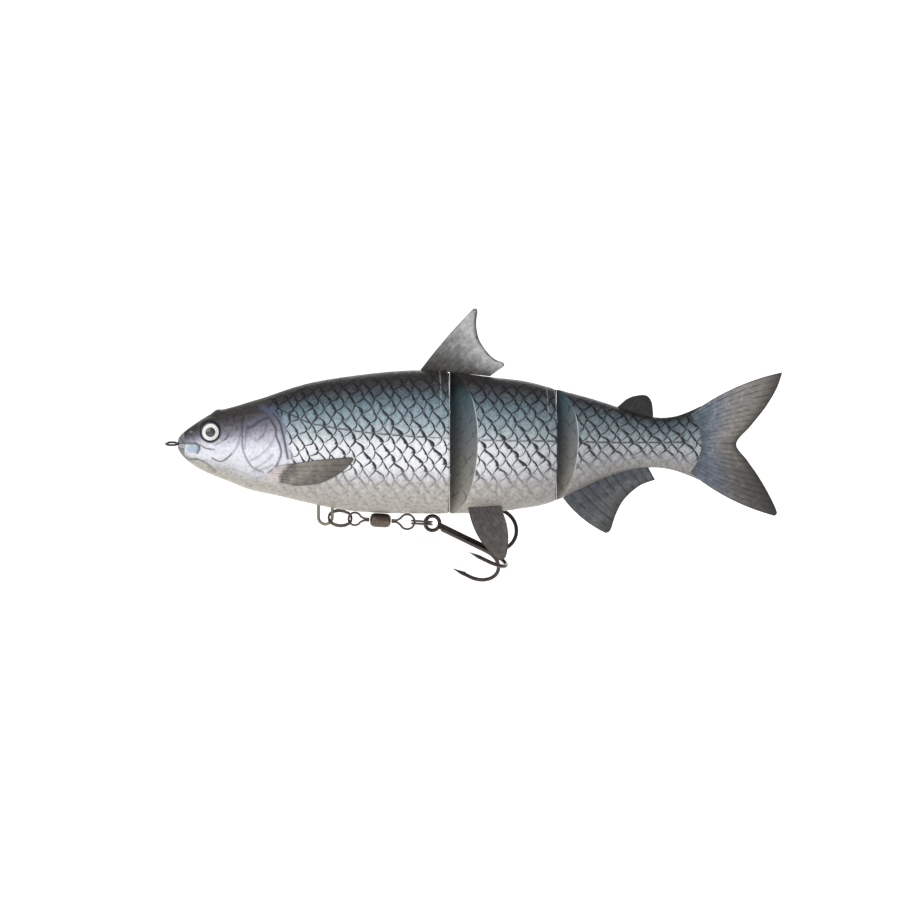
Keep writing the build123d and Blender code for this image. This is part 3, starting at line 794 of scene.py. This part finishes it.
def make_fins(body):
    grey = fin_material("dorsal_rubber", [
        (0.0, (58, 57, 55)), (0.3, (92, 91, 90)), (0.7, (150, 150, 150)), (0.9, (176, 176, 176)),
        (1.0, (60, 58, 56)),
    ], 0.12, 0.9, 0.4)
    root = [(102.0, 29.6), (108.0, 30.0), (114.4, 29.55), (122.0, 28.8), (131.4, 27.9)]
    margin = [(124.6, 55.8), (126.2, 55.2), (125.7, 49.5), (126.6, 44.0), (128.3, 40.6), (131.2, 36.8),
              (134.0, 34.6), (136.6, 33.6), (137.2, 32.2), (134.4, 30.0)]
    dorsal = fin("dorsal_fin_soft", grey, root, margin, 11, (1.9, 0.9), upright, bow=0.6)

    black = fin_material("adipose_rubber", [(0.0, (44, 45, 46)), (1.0, (38, 37, 37))], 0.15, 0.5)
    root = [(183.4, 14.6), (190.0, 12.6), (198.6, 10.6)]
    margin = [(187.6, 18.3), (191.0, 19.7), (195.8, 20.0), (198.2, 17.2), (198.9, 11.6)]
    adipose = fin("adipose_fin_soft", black, root, margin, 7, (1.6, 0.8), upright)

    blue = fin_material("anal_rubber", [
        (0.0, (78, 86, 94)), (0.3, (74, 77, 82)), (0.7, (90, 92, 94)), (1.0, (66, 64, 62)),
    ], 0.6, 0.75)
    root = [(161.6, -22.4), (167.0, -18.8), (175.0, -14.6), (184.0, -11.6), (196.6, -9.4)]
    margin = [(179.2, -36.9), (181.2, -35.6), (183.5, -29.0), (187.0, -22.8), (193.2, -17.4), (199.6, -14.9)]
    anal = fin("anal_fin_soft", blue, root, margin, 10, (1.6, 0.8), upright, bow=-1.4)

    def at_tail(flat, half):
        """The tail fin's root wraps the end of the body and thins out to the blade."""
        x, z = flat.T
        wrap = (body.side_y(np.minimum(x, 218.5), z) + SKIN + 0.12) * (1 - smooth(x, 216.5, 233.0))
        y = np.sign(half) * np.maximum(np.abs(half), wrap)
        return np.stack([x, -y, z], axis=1)

    upper = [(0.0, (78, 88, 96)), (0.22, (104, 112, 124)), (0.5, (132, 130, 130)), (0.8, (122, 118, 112)),
             (1.0, (62, 58, 55))]
    lower = [(0.0, (84, 92, 100)), (0.25, (98, 104, 116)), (0.55, (94, 93, 91)), (0.85, (72, 68, 65)),
             (1.0, (48, 45, 43))]
    tail = fin_material("caudal_rubber", upper, 0.5, 0.75, 0.7, lower)
    root = [(214.2, 12.2), (217.4, 6.5), (218.6, 0.0), (217.4, -6.5), (214.2, -12.0)]
    margin = [(252.2, 29.5), (249.9, 22.9), (245.4, 15.3), (239.2, 7.4), (233.2, 0.0), (237.6, -6.7),
              (241.7, -12.5), (246.5, -20.6), (249.9, -28.0), (249.0, -29.8)]
    caudal = fin("caudal_fin_soft", tail, root, margin, 22, (0.5, 0.9), at_tail,
                 bow=2.3, end_bow=-2.1, columns=200, rows=80)

    for thing, section, node in ((dorsal, "head_section", "dorsal_fin"),
                                 (adipose, "tail_section", "adipose_fin"),
                                 (anal, "tail_section", "anal_fin"),
                                 (caudal, "tail_section", "caudal_fin")):
        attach(thing, section)
        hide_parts(node)

    dark = fin_material("pelvic_rubber", [
        (0.0, (74, 70, 70)), (0.5, (76, 72, 69)), (1.0, (88, 82, 77)),
    ], 0.25, 0.4)
    flank = fin_material("pectoral_rubber", [
        (0.0, (188, 178, 176)), (0.14, (184, 176, 172)), (0.2, (100, 95, 90)), (0.45, (134, 129, 121)),
        (0.7, (110, 105, 98)), (1.0, (96, 90, 84)),
    ], 0.45, 0.7)
    for name, side in SIDES.items():
        make_pelvic(name, side, dark)
        make_pectoral(body, name, side, flank)


def make_pelvic(name, side, material):
    """A belly fin, splayed outwards from its root."""
    splay = radians(PELVIC_SPLAY_DEG)
    root_y, root_z = PELVIC_ROOT

    def place(flat, half):
        down = (flat[:, 1] - root_z) / cos(splay)
        y = root_y - down * sin(splay) + half * cos(splay)
        z = root_z + down * cos(splay) + half * sin(splay)
        return np.stack([flat[:, 0], side * y, z], axis=1)

    root = [(122.3, -25.6), (128.0, -25.2), (136.2, -26.0)]
    margin = [(135.0, -47.9), (137.6, -46.6), (138.7, -42.0), (138.8, -36.9), (138.0, -32.2), (136.6, -28.0)]
    thing = fin(f"pelvic_fin_{name}_soft", material, root, margin, 8, (1.3, 0.8), place, bow=-2.6)
    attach(thing, "middle_section")
    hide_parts(f"pelvic_fin_{name}")


def make_pectoral(body, name, side, material):
    """A thin fin that lies against the flank behind the gill plate."""
    def place(flat, half):
        x, z = flat.T
        stand_off = 0.55
        y = body.side_y(x, z) + stand_off + half
        return np.stack([x, side * y, z], axis=1)

    root = [(42.8, -9.6), (41.6, -12.4), (43.2, -15.6)]
    margin = [(74.8, -5.6), (75.2, -7.0), (71.0, -11.2), (66.0, -14.4), (60.0, -16.6), (51.5, -17.4)]
    thing = fin(f"pectoral_fin_{name}_soft", material, root, margin, 7, (1.2, 0.8), place, bow=0.6)
    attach(thing, "head_section")
    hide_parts(f"pectoral_fin_{name}")


# ---- eyes ----
def make_eyes():
    """Domed eyes, each as far out as its lens."""
    material = eye_material()
    rings, spokes = 26, 64
    for name, side in SIDES.items():
        low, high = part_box(f"eye_lens_{name}")
        face = abs(low[1] if side < 0 else high[1]) / MM
        points = [(EYE[0], side * face, EYE[1])]
        radii = [0.0]
        for ring in range(1, rings + 1):
            r = EYE_R * ring / rings
            drop = 1.25 * (r / EYE_R) ** 2 + 1.2 * smooth(np.array(r), EYE_R * 0.95, EYE_R)
            for spoke in range(spokes):
                turn = 2 * pi * spoke / spokes
                points.append((EYE[0] + r * cos(turn), side * (face - float(drop)), EYE[1] + r * sin(turn)))
                radii.append(r / EYE_R)
        faces = [(0, 1 + s, 1 + (s + 1) % spokes) for s in range(spokes)]
        for ring in range(rings - 1):
            for s in range(spokes):
                a = 1 + ring * spokes
                t = (s + 1) % spokes
                faces.append((a + s, a + spokes + s, a + spokes + t, a + t))
        thing = mesh_object(f"moulded_eye_{name}", points, faces, {"radius": radii}, material)
        fix_normals(thing)
        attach(thing, "head_section")
        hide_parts(f"eye_disc_{name}", f"eye_lens_{name}")


# ---- hook rig ----
def wire(name, points, radius, material, body, replaced, radii=None, closed=False):
    """A round wire along a smooth line of points in millimetres."""
    data = bpy.data.curves.new(name, "CURVE")
    data.dimensions = "3D"
    data.bevel_depth = radius * MM
    data.bevel_resolution = 5
    data.use_fill_caps = True
    spline = data.splines.new("POLY")
    spline.points.add(len(points) - 1)
    for i, (point, target) in enumerate(zip(points, spline.points)):
        target.co = (*(Vector(point) * MM), 1)
        target.radius = 1.0 if radii is None else radii[i]
    spline.use_cyclic_u = closed
    holder = put(name + "_line", data)
    mesh = bpy.data.meshes.new_from_object(holder)
    bpy.data.objects.remove(holder)
    mesh.name = name
    mesh.shade_smooth()
    mesh.materials.clear()
    mesh.materials.append(material)
    thing = put(name, mesh)
    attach(thing, body)
    if replaced:
        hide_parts(*replaced)
    return thing


def joint(name):
    return next(j for j in frame["joints"] if j["name"] == name)


def joint_at(name):
    return Vector(joint(name)["pos_m"]) / MM


def rig_matrix():
    """The hook rig's own frame: x along the rig, from the hanger's centre."""
    along = Vector(joint("barrel_spin")["axis"]).normalized()
    across = Vector((0, 0, 1)).cross(along).normalized()
    up = along.cross(across)
    turn = Matrix((along, across, up)).transposed().to_4x4()
    return Matrix.Translation(joint_at("front_ring_swing")) @ turn


def make_split_ring(name, centre, radius, tilt, pitch, body, replaced, material):
    """Two coils of hard wire side by side, with the step where one coil crosses to the other."""
    turn = centre @ Matrix.Rotation(radians(tilt), 4, "X")
    wire_end = 0.9   # radians round the ring to where the wire starts
    count = 180
    points = []
    for i in range(count + 1):
        share = i / count
        angle = 4 * pi * share + wire_end
        shift = pitch * (smooth(np.array(share), 0.44, 0.56) - 0.5)
        points.append(turn @ Vector((radius * cos(angle), radius * sin(angle), float(shift))))
    wire(name, points, RING_WIRE_R, material, body, [replaced])


def make_swivel(rig, material):
    """Round wire eyes with twisted necks, and a waisted barrel between them."""
    barrel_x = (rig.inverted() @ joint_at("barrel_spin")).x
    opening = radians(28)   # half the angle left open at the neck of an eye
    steps = 96
    ends = (("front", "swivel_swing", 2.6, 1), ("rear", "rear_ring_swing", 3.05, -1))
    for name, joint_name, radius, sign in ends:
        x = (rig.inverted() @ joint_at(joint_name)).x
        points = []
        for i in range(steps + 1):
            angle = opening + (2 * pi - 2 * opening) * i / steps
            points.append((x + sign * radius * cos(angle), 0.0, radius * sin(angle)))
        neck = x + sign * (radius + 1.3)
        entry = barrel_x - sign * BARREL_HALF
        lead_in = [(entry, -0.1, 0.42), (neck, -0.1, 0.45), points[0]]
        lead_out = [points[-1], (neck, 0.1, -0.45), (entry, 0.1, -0.42)]
        line = curve_points(lead_in, 30).tolist() + points[1:-1] + curve_points(lead_out, 30).tolist()
        line = [rig @ Vector(p) for p in line]
        wire(f"swivel_{name}_eye_wire", line, RIG_WIRE_R, material, "swivel_eyes", [f"swivel_{name}_eye"])
    half = [(1.0, 2.93), (2.2, 2.88), (3.0, 2.75), (3.6, 2.45), (4.05, 1.9), (4.25, 1.35), (4.2, 0.75)]
    profile = [(-x, r) for x, r in reversed(half)] + half
    spin("swivel_barrel_shell", rig @ Matrix.Translation((barrel_x, 0, 0)), profile, material)


def spin(name, place, profile, material):
    """The swivel's barrel, turned about its own x axis."""
    line = curve_points(profile, 90)
    spokes = 72
    points = []
    for x, r in line:
        for s in range(spokes):
            turn = 2 * pi * s / spokes
            points.append(tuple(place @ Vector((x, r * cos(turn), r * sin(turn)))))
    thing = mesh_object(name, points, grid_faces(len(line), spokes, True), None, material)
    fix_normals(thing)
    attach(thing, "barrel")
    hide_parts("swivel_barrel")


def treble_matrix():
    """x down the shank from the eye's centre, y towards the first hook."""
    droop, aside = radians(TREBLE_DROOP_DEG), radians(TREBLE_LEAN_DEG)
    shank = Vector((cos(droop) * cos(aside), sin(aside), -sin(droop) * cos(aside)))
    down = Vector((-sin(droop), 0, -cos(droop)))
    away = shank.cross(down)
    turn = Matrix((shank, down, away)).transposed().to_4x4()
    return Matrix.Translation(joint_at("treble_swing")) @ turn


def hook_line(azimuth, start):
    """The wire of one hook, as points and the wire's relative radius at each: shank, round bend,
    point leg and tapered point."""
    shank_r, leg_r, bend_start, point = 0.93, 18.2, 25.4, 17.0
    bend_r = (leg_r - shank_r) / 2
    line = [(x, shank_r, 1.0) for x in np.linspace(start, bend_start, 12)]
    for i in range(1, 40):
        angle = pi * i / 40
        line.append((bend_start + bend_r * sin(angle), shank_r + bend_r * (1 - cos(angle)), 1.0))
    for x in np.linspace(bend_start, point, 30):
        taper = min(1.0, 0.06 + (x - point) / HOOK_POINT_TAPER)
        line.append((x, leg_r, taper))
    turn = Matrix.Rotation(radians(azimuth), 4, "X")
    return [turn @ Vector((x, r, 0)) for x, r, _ in line], [t for _, _, t in line]


def make_treble(material):
    """The eye and three hooks. The brazed single hook starts further down the shank than the pair."""
    place = treble_matrix()
    turns = np.linspace(0, 2 * pi, 72, endpoint=False)
    eye = [place @ Vector((HOOK_EYE_R * cos(a), HOOK_EYE_R * sin(a), 0)) for a in turns]
    wire("treble_eye", eye, HOOK_WIRE_R, material, "treble", None, closed=True)
    for azimuth, nodes in HOOK_NODES.items():
        start = 4.6 if nodes == ["treble_single_hook"] else 3.4
        points, radii = hook_line(azimuth, start)
        points = [place @ p for p in points]
        wire(f"treble_hook_{azimuth}", points, HOOK_WIRE_R, material, "treble", nodes,
             radii=radii)
        make_barb(place, azimuth, material)


def make_barb(place, azimuth, material):
    """The small cut-up barb on the inside of a point."""
    turn = place @ Matrix.Rotation(radians(azimuth), 4, "X")
    tip, heel, root, width = (23.0, 16.6), (20.4, 17.7), (22.0, 17.9), 0.3
    points = [(*tip, 0), (*heel, width), (*heel, -width), (*root, width), (*root, -width),
              (heel[0], 18.2, 0)]
    points = [tuple(turn @ Vector(p)) for p in points]
    faces = [(0, 1, 2), (0, 3, 1), (0, 2, 4), (0, 4, 3), (1, 5, 2), (3, 4, 5), (1, 3, 5), (2, 5, 4)]
    thing = mesh_object(f"treble_barb_{azimuth}", points, faces, None, material)
    fix_normals(thing)
    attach(thing, "treble")


def make_rig():
    """The hook rig, and the design's own wire and steel parts in better materials."""
    dark = metal_material("black_nickel", (82, 74, 68), 0.3)
    hook = metal_material("hook_black", (58, 53, 50), 0.28)
    silver = metal_material("bright_wire", (116, 114, 100), 0.34)
    steel = metal_material("stainless", (176, 174, 170), 0.3)
    rig = rig_matrix()
    front = rig @ Matrix.Translation((6.1, 0, 0))
    rear = rig @ Matrix.Translation((39.95, 0, 0))
    make_split_ring("front_split_ring_coils", front, 4.75, 40, 0.8, "front_ring", "front_split_ring", dark)
    make_split_ring("rear_split_ring_coils", rear, 4.25, 0, 1.1, "rear_ring", "rear_split_ring", dark)
    make_swivel(rig, dark)
    make_treble(hook)
    dress("belly_hanger", silver)
    dress("tow_eye", hook)
    for name in ("front_hinge_pin", "rear_hinge_pin", "front_screw_eye_upper", "front_screw_eye_lower",
                 "rear_screw_eye_upper", "rear_screw_eye_lower", "head_ballast", "middle_ballast"):
        dress(name, steel)


def dress(name, material):
    """Gives a node of the design a material."""
    node = frame["nodes"][name]
    if not node.material_slots:
        node.data.materials.append(material)
    for slot in node.material_slots:
        slot.material = material


# ---- the whole bait ----
def make_gap_rib(material, face, low, high, body):
    """A thin upright rib behind a joint's flat face, which keeps the gap from showing daylight."""
    front, rear, half = face - 0.3, face + 0.68, 0.3
    corners = [(x, y, z) for x in (front, rear) for y in (-half, half) for z in (low, high)]
    sides = [(0, 1, 3, 2), (4, 6, 7, 5), (0, 4, 5, 1), (2, 3, 7, 6), (1, 5, 7, 3), (0, 2, 6, 4)]
    thing = mesh_object(f"{body}_rib", corners, sides, None, material)
    thing.data.shade_flat()
    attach(thing, body)


def x_span(node):
    """Where a node of the design begins and ends along the bait."""
    low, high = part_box(node)
    return low[0] / MM, high[0] / MM


def make_body():
    """Dresses the shells, lays the skins over them and returns the body's outline."""
    body = Body()
    paint = paint_material()
    faces = hard_material()
    for name in frame["nodes"]:
        if "_shell_" in name:
            dress(name, faces)
    _, head_end = x_span("head_shell_left")
    middle_start, middle_end = x_span("middle_shell_left")
    tail_start, tail_end = x_span("tail_shell_left")
    sections = (
        ("head_section", body.nose, head_end, None, True),
        ("middle_section", middle_start, middle_end, middle_start, True),
        ("tail_section", tail_start, tail_end, tail_start, False),
    )
    make_gap_rib(faces, head_end, -28.4, 29.2, "head_section")
    make_gap_rib(faces, middle_end, -23.3, 22.3, "middle_section")
    for name, start, end, apex, lip in sections:
        thing = skin(body, f"{name}_paint", paint, start, end, apex, lip)
        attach(thing, name)
    return body


make_camera()
make_lights()
make_stage()
body = make_body()
make_eyes()
make_fins(body)
make_rig()
